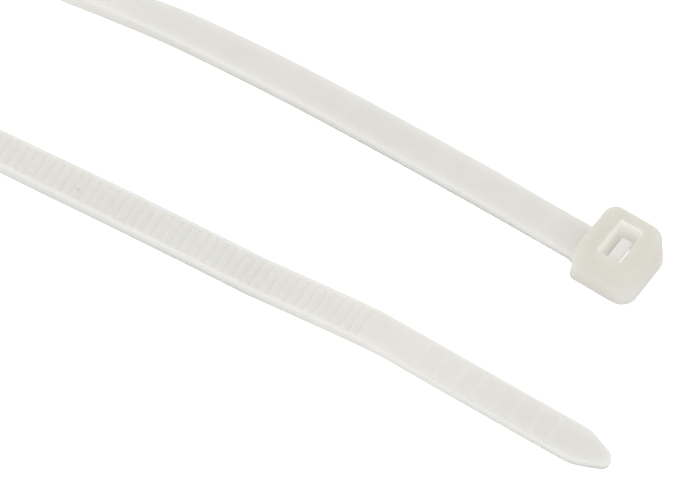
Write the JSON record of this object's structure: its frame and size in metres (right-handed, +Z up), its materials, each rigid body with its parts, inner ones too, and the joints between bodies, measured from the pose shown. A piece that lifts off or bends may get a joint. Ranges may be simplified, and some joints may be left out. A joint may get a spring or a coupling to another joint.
{
  "type": "cable tie",
  "caption": "Natural nylon cable tie with a square ratchet head, toothed strap bent back on itself and a thin ribbed tail with a tapered tip.",
  "frame": {"origin": "middle of the slot's mouth in the head's flat base, which lies on the table", "axes": "+Z up through the slot from the entry side to the exit side, -X along the strap where it leaves the head, +Y across the strap, away from the tail arm"},
  "size_m": [0.0781, 0.0281, 0.0047],
  "materials": {
    "natural_nylon": "translucent off-white polyamide, as moulded, soft sheen"
  },
  "bodies": {
    "root": {"cable_tie": "natural_nylon"}
  },
  "joints": []
}
